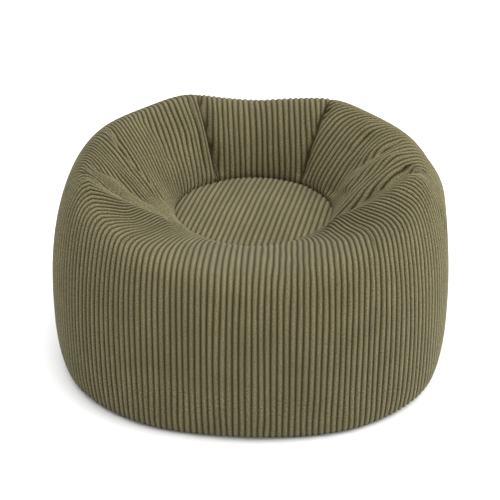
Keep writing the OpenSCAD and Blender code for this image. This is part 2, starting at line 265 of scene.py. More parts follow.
def crowded(seam):
    """Shift of the front's numbers that makes its cords turn over a shoulder and run beside a seam."""
    side = math.copysign(1, seam[0])
    at_seam = side * per_row(seam, FRONT_TURN, PLAIN)
    start = at_seam[int(np.argmin(np.abs(ROWS - LEAVE_ROW)))]
    on_crest = smooth((NARROW_UNTIL - ROWS) / NARROW_OVER) * (side > 0)
    reach = mix(CROWD_REACH, CROWD_REACH_RIGHT, on_crest) * at_seam
    spare = np.maximum(soft_min(start - at_seam, CROWD_MOST * reach, CROWD_BLEND), 0)
    spare = spare * smooth((ROWS - CROWD_FROM) / CROWD_OVER)
    away = np.clip((at_seam - side * PLAIN) / reach, 0, 1)
    return side * spare * (1 - away) ** 2


FRONT_FIELD = PLAIN + crowded(LEFT_SEAM) + crowded(RIGHT_SEAM)


def along_cord(number):
    """The angle at which the front's cord of this number crosses each row."""
    return per_row(np.full(len(ROWS), number), FRONT_FIELD, FRONT_TURN)


NARROWEST, SEAM_BLEND = 4, 2  # degrees a front side panel keeps at least, and the blend
FRONT_LEFT = -soft_min(-along_cord(-FRONT_CORDS), -LEFT_SEAM - NARROWEST, SEAM_BLEND)
FRONT_RIGHT = soft_min(along_cord(FRONT_CORDS), RIGHT_SEAM - NARROWEST, SEAM_BLEND)
BACK_RIGHT = curve_through(ROWS, [(0, 155.5), (1.5, 154), (2, 152.4), (2.5, 149.6), (3, 146)])
BACK_LEFT = curve_through(ROWS, [(0, 204.5), (1.5, 205), (2, 206), (2.28, 208), (2.5, 210), (3, 212.5)])
GUIDES = [LEFT_SEAM, FRONT_LEFT, FRONT_RIGHT, RIGHT_SEAM, BACK_RIGHT, BACK_LEFT, LEFT_SEAM + 360]
# Grain lines, which the cords of a panel run beside
RIGHT_GRAIN = curve_through(ROWS, [(0, 124), (1.4, 122), (2, 124.5), (2.25, 125), (2.45, 121.5),
                                   (2.65, 117), (3, 111.5)])
BACK_GRAIN = curve_through(ROWS, [(0, 186), (3, 186)])
LEFT_GRAIN = curve_through(ROWS, [(0, 212), (2, 211), (2.44, 214.5), (2.62, 217.5), (3, 223)])
STEP = 0.25  # degrees between columns at the hem


def make_columns():
    """Angles of every column at every row, and the column at which each guide lies."""
    cols, marks = [], [0]
    for a, b in zip(GUIDES[:-1], GUIDES[1:]):
        n = int(round((b[0] - a[0]) / STEP))
        for i in range(n):
            cols.append(mix(a, b, i / n))
        marks.append(marks[-1] + n)
    return np.radians(np.array(cols)), marks


PHI, MARKS = make_columns()
COLS, NROWS = PHI.shape
TT = np.broadcast_to(ROWS, PHI.shape)


def ring_diff(f):
    """Central difference along the columns, which close into a ring."""
    return (np.roll(f, -1, 0) - np.roll(f, 1, 0)) / 2


def normals_of(p):
    return unit(np.cross(ring_diff(p), np.gradient(p, axis=1)))


# ------------------------ folds and soft bulges
# Depth (minus: a ridge) and half-width in metres, then the line as (phi, t) points in degrees and rows
FOLDS = (
    (0.027, 0.019, ((93.5, 1.98), (92, 2.1), (88.5, 2.24), (83, 2.4), (76, 2.56), (68, 2.7), (59, 2.86))),
    (-0.014, 0.027, ((90, 1.9), (80, 2.08), (72, 2.22), (64, 2.34), (57, 2.48), (50, 2.7))),
    (0.009, 0.024, ((128, 2.15), (123.5, 2.37), (116.5, 2.54), (113, 2.76), (111, 2.92))),
    (0.008, 0.011, ((115, 1.98), (114, 2.11), (112, 2.25), (112, 2.42), (112, 2.56))),
    (-0.008, 0.017, ((104, 2.02), (103.5, 2.37), (100.5, 2.57), (96, 2.7))),
    (-0.006, 0.045, ((76, 1.5), (92, 1.55), (108, 1.5))),
    (-0.005, 0.020, ((133, 2.0), (130, 2.25), (128, 2.45))),
    (0.012, 0.015, ((152, 2.02), (150, 2.29), (150.5, 2.46), (148.5, 2.65), (145.5, 2.95))),
    (0.012, 0.013, ((205.5, 2.0), (206, 2.16), (208.5, 2.4), (210.5, 2.64), (211, 2.96))),
    (0.007, 0.008, ((210.5, 1.93), (212, 2.21), (214.5, 2.44), (217.5, 2.62), (221, 2.88))),
    (-0.008, 0.012, ((249, 1.94), (254, 2.04), (267.5, 2.29), (273, 2.42), (281, 2.54), (290, 2.7))),
    (0.009, 0.010, ((251, 2.02), (254, 2.13), (261, 2.26), (269, 2.43), (277, 2.59), (286, 2.76))),
    (0.009, 0.016, ((278, 1.95), (280, 2.04), (280.5, 2.15), (283, 2.29), (291, 2.42), (300, 2.58))),
    (-0.013, 0.021, ((286, 1.92), (293, 2.02), (299, 2.14), (305, 2.28), (311, 2.42), (318, 2.6))),
    (-0.004, 0.014, ((217, 2.05), (219, 2.3), (222, 2.55))),
    (0.005, 0.018, ((232, 2.05), (236, 2.4), (243, 2.62))),
)
FOLD_FROM = 1.15  # row above which the cloth folds
FOLD_REACH = 22  # degrees either side of a fold that it can touch
FOLD_FADE = 0.15  # share of a fold's length over which it dies out at either end
FOLD_POWER = 1.7  # how flat the bottom of a fold is and how steep its sides


def fold(depth, width, points):
    """Height that one valley or ridge gives to every point of the cloth."""
    phi, t = np.array(points, float).T
    s = np.linspace(0, 1, 70)
    key = np.linspace(0, 1, len(points))
    line = body_shape(np.radians(np.interp(s, key, phi)), np.interp(s, key, t))
    rows = np.flatnonzero(ROWS > FOLD_FROM)
    off = np.abs((np.degrees(PHI[:, rows]) - phi.mean() + 180) % 360 - 180)
    cols = np.flatnonzero((off < np.ptp(phi) / 2 + FOLD_REACH).any(1))
    part = base[np.ix_(cols, rows)]
    best = np.full(part.shape[:2], 1e9)
    along = np.zeros(part.shape[:2])
    for point, position in zip(line, s):
        dist = ((part - point) ** 2).sum(-1)
        near = dist < best
        best[near] = dist[near]
        along[near] = position
    fade = smooth(along / FOLD_FADE) * smooth((1 - along) / FOLD_FADE)
    height = np.zeros(base.shape[:2])
    height[np.ix_(cols, rows)] = -depth * fade * np.exp(-(np.sqrt(best) / width) ** FOLD_POWER)
    return height


# Waves round the bag, waves up it, height in millimetres, and phase
BULGES = ((3, 1.1, 2.0, 0.4), (5, 1.7, 1.6, 2.1), (8, 2.3, 1.2, 4.0), (13, 3.1, 0.8, 1.0))


def soft_bulges(phi, t):
    """Slow unevenness of a bag of beads."""
    f = 0.0
    for k, m, a, p in BULGES:
        f = f + a * np.sin(k * phi + p) * np.sin(m * t + 0.7 * p)
    return 0.001 * f


# The smooth shape, and the same with its folds and bulges
base = body_shape(PHI, TT)
base_normal = normals_of(base)
lift = soft_bulges(PHI, TT) * smooth(TT / 0.4) * smooth((3 - TT) / 0.3)
lift = lift + sum(fold(*item) for item in FOLDS) * smooth((3 - TT) / 0.12)
cloth = base + base_normal * lift[..., None]
cloth_normal = normals_of(cloth)


# ------------------------ cords
# Places across a cord where the cloth has points
SAMPLES = np.array([0, 0.06, 0.14, 0.24, 0.36, 0.5, 0.64, 0.76, 0.86, 0.94])
CORD_POWER = 0.55  # how plump a cord is
WAVER = 0.045  # how far, in cords, a cord wanders from its line
SIDE_CREST = 1.9  # row where a side's outer and inner numbers agree
LEAN = 0.4  # share of the inner numbers in those of the outer wall
LEAN_FROM, LEAN_OVER = 1.55, 0.5  # rows over which the inner ones take over
SEAM_WIDTH = 0.0065  # reach of the furrow beside a seam
# How far a seam draws the cloth in outside and in the well, and the width of flat cloth beside it
DEEP = (0.0015, 0.006, 0.004)
JOIN = (0, 0.0025, 0.002)
FAINT = (0.0012, 0, 0)
WELL_FROM, WELL_OVER = 1.95, 0.3  # rows over which the well's depth replaces the outside's
FLAT_FROM, FLAT_OVER = 1.9, 0.15  # rows over which the flattening sets in
HEM_FADE, HEM_FLAT = 0.06, 0.5  # rows over which the hem flattens the cords, and by what share
SEAT_FADE, SEAT_SINK = 0.035, 0.0015  # rows over which the seat's seam draws the cloth in, and how far
HEM_TURN = 0.0022  # how far the hem turns in from the foot line
SEAT_TURN_DOWN = 0.016  # how far the cloth turns down at the seat's seam
ALONG = np.concatenate([[0], np.cumsum(np.linalg.norm(np.diff(base[COLS // 2], axis=0), axis=1))])
ANGLE = np.degrees(np.concatenate([PHI, PHI[:1] + 2 * math.pi]))
COUNT = np.concatenate([np.zeros((1, NROWS)), np.cumsum(cords_across(ANGLE), 0)])


def count_at(curve):
    """The count where each row meets a curve phi(t)."""
    return np.array([np.interp(curve[j], ANGLE[:, j], COUNT[:, j]) for j in range(NROWS)])


def side_number(seam, grain):
    """Numbers that run beside a side's front seam on the outer wall and its grain line in the well."""
    outer, inner = COUNT[MARKS[seam]], count_at(grain)
    j = int(np.argmin(np.abs(ROWS - SIDE_CREST)))
    inner = inner + outer[j] - inner[j]
    return COUNT - mix(mix(outer, inner, LEAN), inner, smooth((ROWS - LEAN_FROM) / LEAN_OVER))


def cord_profile(w):
    """A plump cord with a narrow groove, 0 in the groove and 1 on top."""
    return (0.5 - 0.5 * np.cos(2 * math.pi * w)) ** CORD_POWER


def wavering(turn):
    """Smooth wandering of the cords, nil at the hem and the seat."""
    slow = np.sin(0.31 * turn + 3.1 * ROWS) + np.sin(0.17 * turn - 4.7 * ROWS + 1)
    f = slow + 0.7 * np.sin(0.9 * turn + 6 * ROWS)
    return f * smooth(ROWS / 0.5) * smooth((3 - ROWS) / 0.3)


def strip(first, last, number, dips):
    """Points between two seams, in columns that follow the cords and stop at either seam."""
    cols = np.arange(MARKS[first], MARKS[last] + 1)
    number = number[cols] + WAVER * wavering(ANGLE[cols])
    number = np.maximum.accumulate(number + 1e-6 * cols[:, None], 0)
    ring = cols % COLS
    levels = np.arange(math.floor(number.min()), math.ceil(number.max()))
    levels = np.append((levels[:, None] + SAMPLES).ravel(), levels[-1] + 1)
    place = np.zeros((len(levels), NROWS, 3))
    normal = np.zeros_like(place)
    for j in range(NROWS):
        at = np.interp(levels, number[:, j], np.arange(len(cols)))
        i = np.minimum(at.astype(int), len(cols) - 2)
        w = (at - i)[:, None]
        place[:, j] = mix(cloth[ring[i], j], cloth[ring[i + 1], j], w)
        normal[:, j] = mix(cloth_normal[ring[i], j], cloth_normal[ring[i + 1], j], w)
    level = np.clip(levels[:, None], number[0], number[-1])
    dip = np.zeros(level.shape)
    inward = np.ones(level.shape)
    for side, (low, high, cut) in zip((ring[0], ring[-1]), dips):
        edge = np.linalg.norm(place - cloth[side][None], axis=-1)
        depth = mix(low, high, smooth((ROWS - WELL_FROM) / WELL_OVER))
        dip += depth * np.exp(-(edge / SEAM_WIDTH) ** 1.5) * smooth((3 - ROWS) / 0.2)
        flat = smooth((ROWS - FLAT_FROM) / FLAT_OVER)
        inward *= mix(1, smooth(edge / max(cut, 1e-6)), flat)
    coords = np.stack([level * PITCH + first, np.broadcast_to(ALONG, level.shape), 0 * level], -1)
    return {"place": place, "normal": unit(normal), "level": level, "dip": dip, "inward": inward,
            "coords": coords}


def raise_cords(grid):
    """Raises the cords, draws the cloth in at its seams and turns its hems under."""
    rib = cord_profile(grid["level"]) * grid["inward"]
    hem_edge = np.exp(-(ROWS / HEM_FADE) ** 2)
    seat_edge = np.exp(-((3 - ROWS) / SEAT_FADE) ** 2)
    height = CORD_H * (rib - 1) * (1 - HEM_FLAT * hem_edge) - SEAT_SINK * seat_edge - grid["dip"]
    points = grid["place"] + grid["normal"] * height[..., None]
    hem, seat_row = points[:, :1], points[:, -1:]
    turn = np.arctan2(hem[..., 0], -hem[..., 1])
    inside = foot_line(turn)[0] - HEM_TURN
    hem_in = np.stack([inside * np.sin(turn), -inside * np.cos(turn), hem[..., 2]], -1)
    points = np.concatenate([hem_in, points, seat_row - [0, 0, SEAT_TURN_DOWN]], 1)
    rib = np.concatenate([rib[:, :1], rib, rib[:, -1:] * 0], 1)
    coords = np.concatenate([grid["coords"][:, :1], grid["coords"], grid["coords"][:, -1:]], 1)
    return points, rib, coords


# ------------------------ meshes
def new_mesh(name, verts, quads, attributes=()):
    """A smooth-shaded mesh of quads; attributes are (name, kind, field, values), one value per point."""
    mesh = bpy.data.meshes.new(name)
    mesh.vertices.add(len(verts))
    mesh.vertices.foreach_set("co", np.ascontiguousarray(verts, np.float32).ravel())
    mesh.loops.add(quads.size)
    mesh.loops.foreach_set("vertex_index", quads.astype(np.int32).ravel())
    mesh.polygons.add(len(quads))
    mesh.polygons.foreach_set("loop_start", np.arange(0, quads.size, 4, dtype=np.int32))
    mesh.update(calc_edges=True)
    mesh.polygons.foreach_set("use_smooth", np.ones(len(quads), bool))
    for key, kind, field, values in attributes:
        attr = mesh.attributes.new(key, kind, "POINT")
        attr.data.foreach_set(field, np.ascontiguousarray(values, np.float32).ravel())
    obj = bpy.data.objects.new(name, mesh)
    bpy.context.scene.collection.objects.link(obj)
    return obj


def grid_quads(n, m):
    i, j = np.meshgrid(np.arange(n - 1), np.arange(m - 1), indexing="ij")
    k = (i * m + j).ravel()
    return np.stack([k, k + m, k + m + 1, k + 1], 1)


def wall_panel(name, node_name, grid):
    """One panel of the cover's wall, in place of its CAD solid."""
    points, rib, coords = raise_cords(grid)
    n, m = points.shape[:2]
    obj = new_mesh(name, points.reshape(-1, 3), grid_quads(n, m),
                   (("cord", "FLOAT", "value", rib), ("cloth", "FLOAT_VECTOR", "vector", coords)))
    tidy(obj)
    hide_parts(node_name)
    return obj


def tidy(obj):
    """Merges the points that meet at a seam and drops the faces that close up there."""
    bm = bmesh.new()
    bm.from_mesh(obj.data)
    bmesh.ops.remove_doubles(bm, verts=bm.verts, dist=2e-5)
    bmesh.ops.dissolve_degenerate(bm, edges=bm.edges, dist=1e-6)
    bm.to_mesh(obj.data)
    bm.free()


front_number = np.stack([np.interp(ANGLE[:, j], FRONT_TURN, FRONT_FIELD[:, j]) for j in range(NROWS)], 1)
wall = [
    wall_panel("front_cover_panel", "cover_panel_front", strip(1, 2, front_number, (FAINT, FAINT))),
    wall_panel("front_right_cover_panel", "cover_panel_front_right",
               strip(2, 3, front_number, (FAINT, JOIN))),
    wall_panel("back_right_cover_panel", "cover_panel_back_right",
               strip(3, 4, side_number(3, RIGHT_GRAIN), (JOIN, DEEP))),
    wall_panel("back_cover_panel", "cover_panel_back",
               strip(4, 5, COUNT - count_at(BACK_GRAIN), (DEEP, DEEP))),
    wall_panel("back_left_cover_panel", "cover_panel_back_left",
               strip(5, 6, side_number(6, LEFT_GRAIN), (DEEP, JOIN))),
    wall_panel("front_left_cover_panel", "cover_panel_front_left", strip(0, 1, front_number, (JOIN, FAINT)))]


SEAT_LEAN = math.radians(7.7)  # the seat's cords lean this far from the front-to-back line
SEAT_PITCH = 0.0123  # one cord of the seat and its groove
SEAT_TUCK = 0.007  # how far the seat's cloth reaches out under the walls
SEAT_ACROSS, SEAT_DEEP = 290, 150  # points of the seat's mesh, across its cords and along them
SEAT_ROLL, SEAT_ROLL_OVER = 0.006, 0.045  # drop of the seat's edge, and the share of its radius it takes
SEAT_BULGE = 0.0012  # height of its slow waves


def seat_panel():
    """The round seat, a crowned disc with straight cords."""
    n, m = SEAT_ACROSS, SEAT_DEEP
    a = np.linspace(-1, 1, n)[:, None] * np.ones(m)
    b = np.sin(np.linspace(-1, 1, m) * math.pi / 2) * np.ones((n, 1))
    r = SEAT_R + SEAT_TUCK
    x = np.sin(a * math.pi / 2) * r
    y = b * np.sqrt(np.maximum(r * r - x * x, 0))
    f = np.sqrt(x * x + y * y) / r
    rib = cord_profile(x / SEAT_PITCH)
    roll = SEAT_ROLL * np.exp(-((1 - f) / SEAT_ROLL_OVER) ** 2)
    z = SEAT_Z + SEAT_CROWN * (1 - f * f) - roll + CORD_H * (rib - 1)
    z = z + SEAT_BULGE * np.sin(9 * x / r + 1) * np.sin(7 * y / r)
    c, s = math.cos(SEAT_LEAN), math.sin(SEAT_LEAN)
    p = np.stack([SEAT_MID[0] + c * x + s * y, SEAT_MID[1] - s * x + c * y, z], -1)
    coords = np.stack([x + 20, y, 0 * x], -1)
    obj = new_mesh("seat_cover_panel", p.reshape(-1, 3), grid_quads(n, m),
                   (("cord", "FLOAT", "value", rib), ("cloth", "FLOAT_VECTOR", "vector", coords)))
    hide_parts("cover_seat_panel")
    return obj


seat = seat_panel()


# ------------------------ the bag inside
LINER_DEPTH = 0.0125  # from the smooth cover in to the liner
CLOTH_T = 0.0006  # thickness of the liner's cloth
BEAD_GAP = 0.0042  # between the liner's inside and the beads, so that they part at the folds
FOLD_SHARE = 1.1  # how much of a fold's depth the liner follows, so that it clears the cover
UNDER_SEAT = 0.0135  # how much deeper the liner lies at the seat's seam
UNDER_FROM, UNDER_OVER = 2.6, 0.3  # rows over which it gets there
UNDER_WAY = (0.5, 0.87)  # its way from the cover there, out and down
SEAT_SPACE = 0.009  # how much deeper it lies below the middle of the seat
# The liner's foot and lowest bend: their way from the foot line, and height; pairs are front and rear
FOOT_INSET, FOOT_Z = (0.008, 0.016), 0.0028
BEND_OUT, BEND_Z = (0.002, -0.010), (0.0085, 0.024)
SEAT_RINGS = (0.75, 0.5, 0.25, 0.02)  # rings of points across the seat, as shares of its radius
# The beads' hollow over the liner's zip: share of the way out to the foot, share of the hollow's height
UNDERSIDE = ((0, 1), (0.45, 1), (0.6, 0.73), (0.85, 0.27))
ZIP_CLEAR = 0.002  # between the liner's slider and the beads over it
INNER_STEP, INNER_ROWS = 8, 4  # every how many columns and rows of the cover the bag has points
INNER_COLS = np.arange(0, COLS, INNER_STEP)
WALL_ROWS = np.flatnonzero((ROWS >= 0.35) & (ROWS <= 2))[::INNER_ROWS]
TOP_ROWS = np.append(np.flatnonzero(ROWS > 2)[::INNER_ROWS], NROWS - 1)


def inner_place(depth, rows):
    """Places below the cloth at these rows: along its normal, but out and down under the seat's rim."""
    near_seat = smooth((TT - UNDER_FROM) / UNDER_OVER)[..., None]
    away = unit((base - [SEAT_MID[0], SEAT_MID[1], 0]) * [1, 1, 0])
    way = unit(mix(-base_normal, UNDER_WAY[0] * away - [0, 0, UNDER_WAY[1]], near_seat))
    deep = (depth - FOLD_SHARE * np.minimum(lift, 0))[..., None] + UNDER_SEAT * near_seat
    return (base + way * deep)[INNER_COLS][:, rows]


def inner_wall(depth):
    """The liner's or the beads' outside wall, from its foot on the base up to the rim."""
    phi = PHI[INNER_COLS, 0]
    foot, rear = foot_line(phi)
    inset = depth - LINER_DEPTH
    rings = [(foot - mix(*FOOT_INSET, rear) - inset, np.full_like(phi, FOOT_Z + inset)),
             (foot + mix(*BEND_OUT, rear) - inset, mix(*BEND_Z, rear) + inset / 2)]
    low = [np.stack([r * np.sin(phi), -r * np.cos(phi), z], -1) for r, z in rings]
    return np.concatenate([np.stack(low, 1), inner_place(depth, WALL_ROWS)], 1)


def inner_top(depth):
    """The liner's or the beads' well, from the rim down to the seat and across it."""
    phi = PHI[INNER_COLS, -1]
    rings = []
    for f in SEAT_RINGS:
        z = np.full_like(phi, SEAT_Z + SEAT_CROWN * (1 - f * f) - depth - SEAT_SPACE)
        rings.append(np.stack([f * SEAT_R * np.sin(phi), SEAT_MID[1] - f * SEAT_R * np.cos(phi), z], -1))
    top = inner_place(depth, np.append(WALL_ROWS[-1], TOP_ROWS))
    return np.concatenate([top, np.stack(rings, 1)], 1)


def ring_quads(n, m, start=0, flip=False):
    """Faces between n strands of m points each, which stand in a closed ring."""
    i, j = np.meshgrid(np.arange(n), np.arange(m - 1), indexing="ij")
    k, q = (i * m + j).ravel(), (((i + 1) % n) * m + j).ravel()
    quads = np.stack([k, q, q + 1, k + 1], 1) + start
    return quads[:, ::-1] if flip else quads


def shell(name, node_name, outer, inner):
    """A closed sheet of cloth between two rings of points."""
    n, m = outer.shape[:2]
    k = np.arange(n)
    q = (k + 1) % n
    low = np.stack([k * m, k * m + n * m, q * m + n * m, q * m], 1)
    high = np.stack([k * m, q * m, q * m + n * m, k * m + n * m], 1) + m - 1
    quads = np.concatenate([ring_quads(n, m), ring_quads(n, m, n * m, True), low, high])
    obj = new_mesh(name, np.concatenate([outer.reshape(-1, 3), inner.reshape(-1, 3)]), quads)
    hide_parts(node_name)
    return obj


def bead_body(depth):
    """The beads, as one closed body."""
    wall = inner_wall(depth)
    foot_z = wall[0, 0, 2]
    top = node_box("liner_zip_slider")[1][2] + ZIP_CLEAR
    under = [wall[:, 0] * [f, f, 0] + [0, 0, mix(foot_z, top, rise)] for f, rise in UNDERSIDE]
    points = np.concatenate([np.stack(under, 1), wall, inner_top(depth)[:, 1:]], 1)
    points[:, -1, :2] = points[:, -1, :2].mean(0)
    n, m = points.shape[:2]
    obj = new_mesh("bead_filling", points.reshape(-1, 3), ring_quads(n, m))
    tidy(obj)
    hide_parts("bead_fill")
    return obj


liner = [shell("liner_wall_cloth", "liner_wall", inner_wall(LINER_DEPTH), inner_wall(LINER_DEPTH + CLOTH_T)),
         shell("liner_top_cloth", "liner_top", inner_top(LINER_DEPTH), inner_top(LINER_DEPTH + CLOTH_T))]
beads = bead_body(LINER_DEPTH + CLOTH_T + BEAD_GAP)


# ------------------------ base
BASE_T = 0.002  # thickness of the base's cloth
BASE_COLS = 480  # points round the base
TURN_UP = (0.005, 0.009)  # width of the base's turned-up edge, in front and at the rear
SPOKE = (0, 0.3, 0.6, 0.85, 0.96, 1)  # rings of points across the flat, as shares of its radius
# Shape of one short thread: share of its length, share of its radius
ROD = ((0, 0.01), (0.06, 0.75), (0.2, 1), (0.8, 1), (0.94, 0.75), (1, 0.01))
HEM_THREAD = 0.00035  # radius of the thread in the base's hem
HEM_STITCH = 0.62  # degrees from one of its stitches to the next
STITCH_SHARE = 0.72  # share of that which is thread, and how far up the edge the row runs
THREAD_OUT = 0.0001  # how far the thread's middle lies outside the cloth


def base_panel():
    """The base, flat on the floor and turned up at its edge; and the outline it is cut to."""
    phi = np.linspace(0, 2 * math.pi, BASE_COLS, endpoint=False)
    foot, rear = foot_line(phi)
    edge = seam_height(rear) - SEAM_GAP
    turn = mix(*TURN_UP, rear)
    flat = foot - turn
    outer = [(flat * f, 0 * phi) for f in SPOKE]
    outer += [(foot - 0.55 * turn, 0.05 * edge), (foot - 0.22 * turn, 0.18 * edge),
              (foot - 0.05 * turn, 0.36 * edge), (foot, 0.55 * edge),
              (foot, edge - 0.0008), (foot - 0.0004, edge - 0.0002), (foot - 0.001, edge)]
    inner = [(foot - BASE_T, edge - 0.0003), (foot - BASE_T, np.maximum(BASE_T + 0.0003, 0.5 * edge)),
             (foot - BASE_T - 0.2 * turn, np.maximum(BASE_T + 0.0001, 0.3 * edge))]
    inner += [((flat - 0.0012) * f, 0 * phi + BASE_T) for f in SPOKE[::-1]]
    rings = np.stack([np.stack([r * np.sin(phi), -r * np.cos(phi), z], -1) for r, z in outer + inner], 1)
    obj = new_mesh("base_panel", rings.reshape(-1, 3), ring_quads(*rings.shape[:2]))
    tidy(obj)
    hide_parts("cover_base_panel")
    reach = np.linalg.norm(np.diff(rings[:, :len(outer)], axis=1), axis=-1).sum(1)
    return obj, np.stack([reach * np.sin(phi), -reach * np.cos(phi)], -1)


def stitches(name, starts, ends, radius):
    """A row of short threads, each a rounded rod from one point to the next."""
    along = unit(ends - starts)
    side = unit(np.cross(along, [0.02, 0.03, 1.0]))
    up = np.cross(side, along)
    turn = np.linspace(0, 2 * math.pi, 6, endpoint=False)
    ring = side[:, None] * np.cos(turn)[:, None] + up[:, None] * np.sin(turn)[:, None]
    points = np.stack([mix(starts, ends, f)[:, None] + radius * wide * ring for f, wide in ROD], 2)
    count, sides, rows = points.shape[:3]
    quads = np.concatenate([ring_quads(sides, rows, k * sides * rows) for k in range(count)])
    obj = new_mesh(name, points.reshape(-1, 3), quads)
    tidy(obj)
    return obj


def base_stitching():
    """Thread that closes the base's hem at the back, where it turns up."""
    phi = np.radians(np.arange(100, 260, HEM_STITCH))
    foot, rear = foot_line(phi)
    z = (seam_height(rear) - SEAM_GAP) * STITCH_SHARE
    p = np.stack([(foot + THREAD_OUT) * np.sin(phi), -(foot + THREAD_OUT) * np.cos(phi), z], -1)
    return stitches("base_hem_thread", p[:-1], mix(p[:-1], p[1:], STITCH_SHARE), HEM_THREAD)


base_piece, base_cut = base_panel()
base_thread = base_stitching()


# ------------------------ zips
TAPE_ALONG, TAPE_ACROSS = 180, 15  # points of a tape's mesh
TAPE_FLAT = 0.72  # thickness of a tape beside the ribbed edge, as a share of its thickness there
RIB_FROM, RIB_OVER = 0.16, 0.1  # where the ribbed edge ends, in shares of the tape's width
WEAVE = 0.04  # height of the tape's waves, as a share of half its thickness
COIL_SIDES, COIL_STEPS = 7, 12  # sides of a coil's wire, and points in one turn of it
TAPE_STITCH, STITCH_LONG, TAPE_THREAD = 0.0042, 0.003, 0.0003  # step, length and radius of stitches


def tape(name, node_name, lip):
    """A woven tape in the room of its CAD solid, ribbed beside the teeth: its low edge if lip is 1."""
    lo, hi = node_box(node_name)
    thin = int(np.argmin(hi - lo))
    across = 3 - thin
    n, m = TAPE_ALONG, TAPE_ACROSS
    x = np.linspace(lo[0], hi[0], n)
    v = np.linspace(0, 1, m)
    near = v if lip > 0 else 1 - v
    thick = (hi[thin] - lo[thin]) / 2
    ribbed = TAPE_FLAT + (1 - TAPE_FLAT) * smooth((RIB_FROM - near) / RIB_OVER)
    half = thick * ribbed * np.sqrt(np.clip(1 - (2 * v - 1) ** 16, 0.03, 1))
    wave = WEAVE * thick * np.sin(x[:, None] * 900) * np.sin(v * 25)
    middle = (hi[thin] + lo[thin]) / 2
    faces = []
    for side in (1, -1):
        p = np.zeros((n, m, 3))
        p[..., 0] = x[:, None]
        p[..., across] = lo[across] + (hi[across] - lo[across]) * v
        p[..., thin] = middle + side * (half - WEAVE * thick) + wave
        faces.append(p)
    loop = np.concatenate([faces[0], faces[1][:, ::-1]], 1).transpose(1, 0, 2)
    last = loop.shape[0] - 1
    caps = [np.array([[a * n + e, (a + 1) * n + e, (last - 1 - a) * n + e, (last - a) * n + e]
                      for a in range(m - 1)]) for e in (0, n - 1)]
    obj = new_mesh(name, loop.reshape(-1, 3), np.concatenate([ring_quads(*loop.shape[:2])] + caps))
    tidy(obj)
    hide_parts(node_name)
    return obj


def coil(name, node_name, pitch, wire):
    """The teeth of a zip: a monofilament wound into a helix along X, closed at its ends."""
    lo, hi = node_box(node_name)
    r = (hi[1] - lo[1]) / 2 - wire
    y, z = (hi[1] + lo[1]) / 2, (hi[2] + lo[2]) / 2
    turns = (hi[0] - lo[0] - 2 * wire) / pitch
    a = np.linspace(0, 2 * math.pi * turns, int(turns * COIL_STEPS))
    path = np.stack([lo[0] + wire + pitch * a / (2 * math.pi), y + r * np.cos(a), z + r * np.sin(a)], -1)
    way = unit(np.gradient(path, axis=0))
    out = np.stack([0 * a, np.cos(a), np.sin(a)], -1)
    side = np.cross(way, out)
    turn = np.linspace(0, 2 * math.pi, COIL_SIDES, endpoint=False)
    wide = np.full(len(a), wire)
    wide[[0, -1]] = 0.01 * wire
    ring = out[:, None] * np.cos(turn)[:, None] + side[:, None] * np.sin(turn)[:, None]
    tube = path[:, None] + wide[:, None, None] * ring
    obj = new_mesh(name, tube.transpose(1, 0, 2).reshape(-1, 3), ring_quads(COIL_SIDES, len(a)))
    tidy(obj)
    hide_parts(node_name)
    return obj


def tape_thread(name, node_name, share):
    """Stitching that holds a tape to its cloth, at a share of the tape's width."""
    lo, hi = node_box(node_name)
    x = np.arange(0.002 - CHAIN_HALF, CHAIN_HALF - 0.004, TAPE_STITCH)
    thin = int(np.argmin(hi - lo))
    across = 3 - thin
    p = np.zeros((len(x), 3))
    p[:, 0] = x
    p[:, across] = mix(lo[across], hi[across], share)
    p[:, thin] = hi[thin] if thin == 1 else lo[thin]
    return stitches(name, p, p + [STITCH_LONG, 0, 0], TAPE_THREAD)


tapes = [tape("cover_zip_tape_upper", "zip_tape_upper", 1),
         tape("cover_zip_tape_lower", "zip_tape_lower", -1)]
tape_threads = [tape_thread("cover_zip_thread_upper", "zip_tape_upper", 0.48),
                tape_thread("cover_zip_thread_lower", "zip_tape_lower", 0.52)]
# Each with the pitch of its teeth and the radius of its wire
coils = [coil("cover_zip_teeth_upper", "zip_coil_upper", 0.0016, 0.00036),
         coil("cover_zip_teeth_lower", "zip_coil_lower", 0.0016, 0.00036)]
liner_tapes = [tape("liner_zip_tape_front_cloth", "liner_zip_tape_front", -1),
               tape("liner_zip_tape_back_cloth", "liner_zip_tape_back", 1)]
liner_coils = [coil("liner_zip_teeth_front", "liner_zip_coil_front", 0.0013, 0.0003),
               coil("liner_zip_teeth_back", "liner_zip_coil_back", 0.0013, 0.0003)]


LINER_SLOT = 0.0055  # half the width of the slot in the liner's base
SLOT_EASE = 0.06  # how far from the middle the cloth is drawn in to the slot
LINER_SEAM = 0.0018  # between the edge of the liner's base and its wall


def liner_base():
    """The liner's flat base with the slot for its zip; the outline it is cut to; and the slot's area."""
    lo, hi = node_box("liner_base")
    slot = np.array([node_box("liner_zip_coil_front")[1][0] + COIL_EASE, LINER_SLOT])
    phi = np.linspace(0, 2 * math.pi, 360, endpoint=False)
    foot, rear = foot_line(phi)
    r = foot - mix(*FOOT_INSET, rear) - LINER_SEAM
    edge = np.stack([r * np.sin(phi), -r * np.cos(phi)], -1)
    lip = np.clip(edge / [np.abs(edge[:, 0]).max(), SLOT_EASE], -1, 1) * slot
    flat = mix(edge[:, None], lip[:, None], np.linspace(0, 1, 14)[:, None])
    layers = [np.concatenate([flat, np.full(flat.shape[:2] + (1,), z)], -1) for z in (hi[2], lo[2])]
    obj = shell("liner_base_cloth", "liner_base", *layers)
    obj.data.shade_flat()
    return obj, edge, 4 * slot[0] * slot[1]


liner_floor, liner_cut, slot_area = liner_base()


